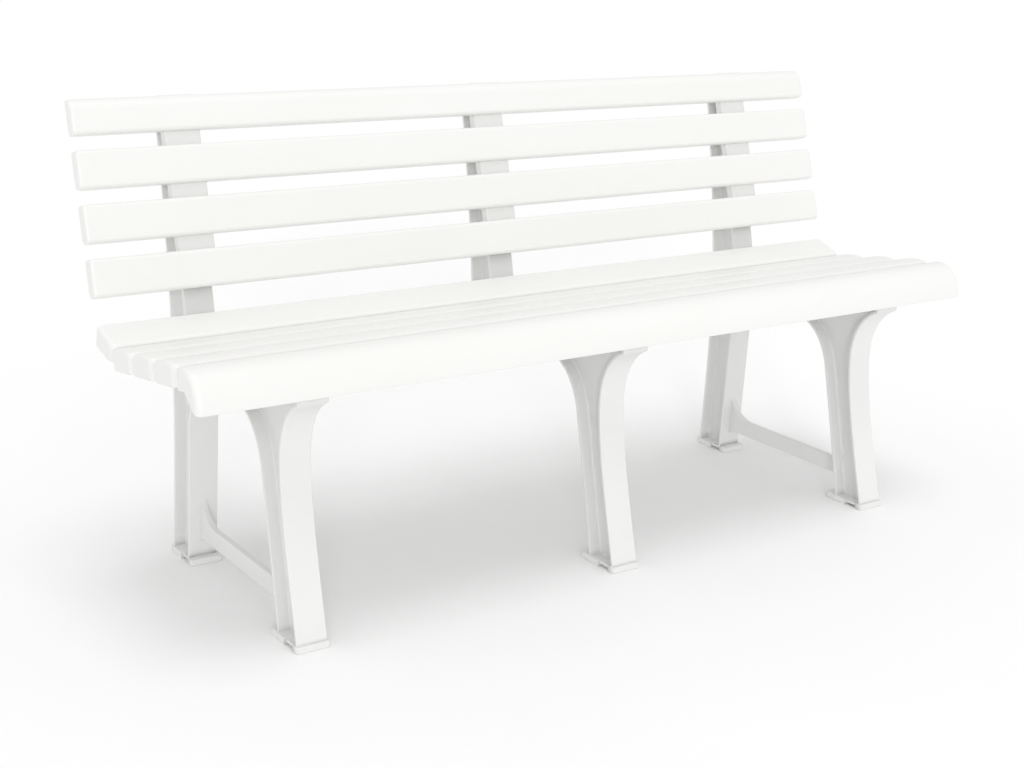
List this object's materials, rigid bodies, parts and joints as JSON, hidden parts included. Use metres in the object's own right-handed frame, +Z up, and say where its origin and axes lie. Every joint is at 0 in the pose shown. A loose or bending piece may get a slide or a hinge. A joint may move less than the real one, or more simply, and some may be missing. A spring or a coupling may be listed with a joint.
{
  "type": "garden bench",
  "caption": "Long outdoor bench in white moulded resin: slatted seat and reclined slatted back; end frames with low stretchers, middle frame with a front leg only.",
  "frame": {"origin": "centre of the footprint, on the ground", "axes": "+X along the bench to the sitter's left, -Y to the front, +Z up"},
  "size_m": [1.455, 0.4886, 0.7267],
  "materials": {
    "frame_resin": "satin",
    "slat_resin": "semi-gloss",
    "zinc_steel": "zinc plated"
  },
  "bodies": {
    "root": {"side_frame_left": "frame_resin", "side_frame_middle": "frame_resin", "side_frame_right": "frame_resin", "seat_slat_1_rear": "slat_resin", "seat_slat_2": "slat_resin", "seat_slat_3": "slat_resin", "seat_slat_4": "slat_resin", "seat_slat_5_front": "slat_resin", "back_slat_1": "slat_resin", "back_slat_2": "slat_resin", "back_slat_3": "slat_resin", "back_slat_4_top": "slat_resin", "screw_seat_1_left": "zinc_steel", "screw_seat_1_middle": "zinc_steel", "screw_seat_1_right": "zinc_steel", "screw_seat_2_left": "zinc_steel", "screw_seat_2_middle": "zinc_steel", "screw_seat_2_right": "zinc_steel", "screw_seat_3_left": "zinc_steel", "screw_seat_3_middle": "zinc_steel", "screw_seat_3_right": "zinc_steel", "screw_seat_4_left": "zinc_steel", "screw_seat_4_middle": "zinc_steel", "screw_seat_4_right": "zinc_steel", "screw_seat_5_left": "zinc_steel", "screw_seat_5_middle": "zinc_steel", "screw_seat_5_right": "zinc_steel", "screw_back_1_left": "zinc_steel", "screw_back_1_middle": "zinc_steel", "screw_back_1_right": "zinc_steel", "screw_back_2_left": "zinc_steel", "screw_back_2_middle": "zinc_steel", "screw_back_2_right": "zinc_steel", "screw_back_3_left": "zinc_steel", "screw_back_3_middle": "zinc_steel", "screw_back_3_right": "zinc_steel", "screw_back_4_left": "zinc_steel", "screw_back_4_middle": "zinc_steel", "screw_back_4_right": "zinc_steel"}
  },
  "joints": []
}
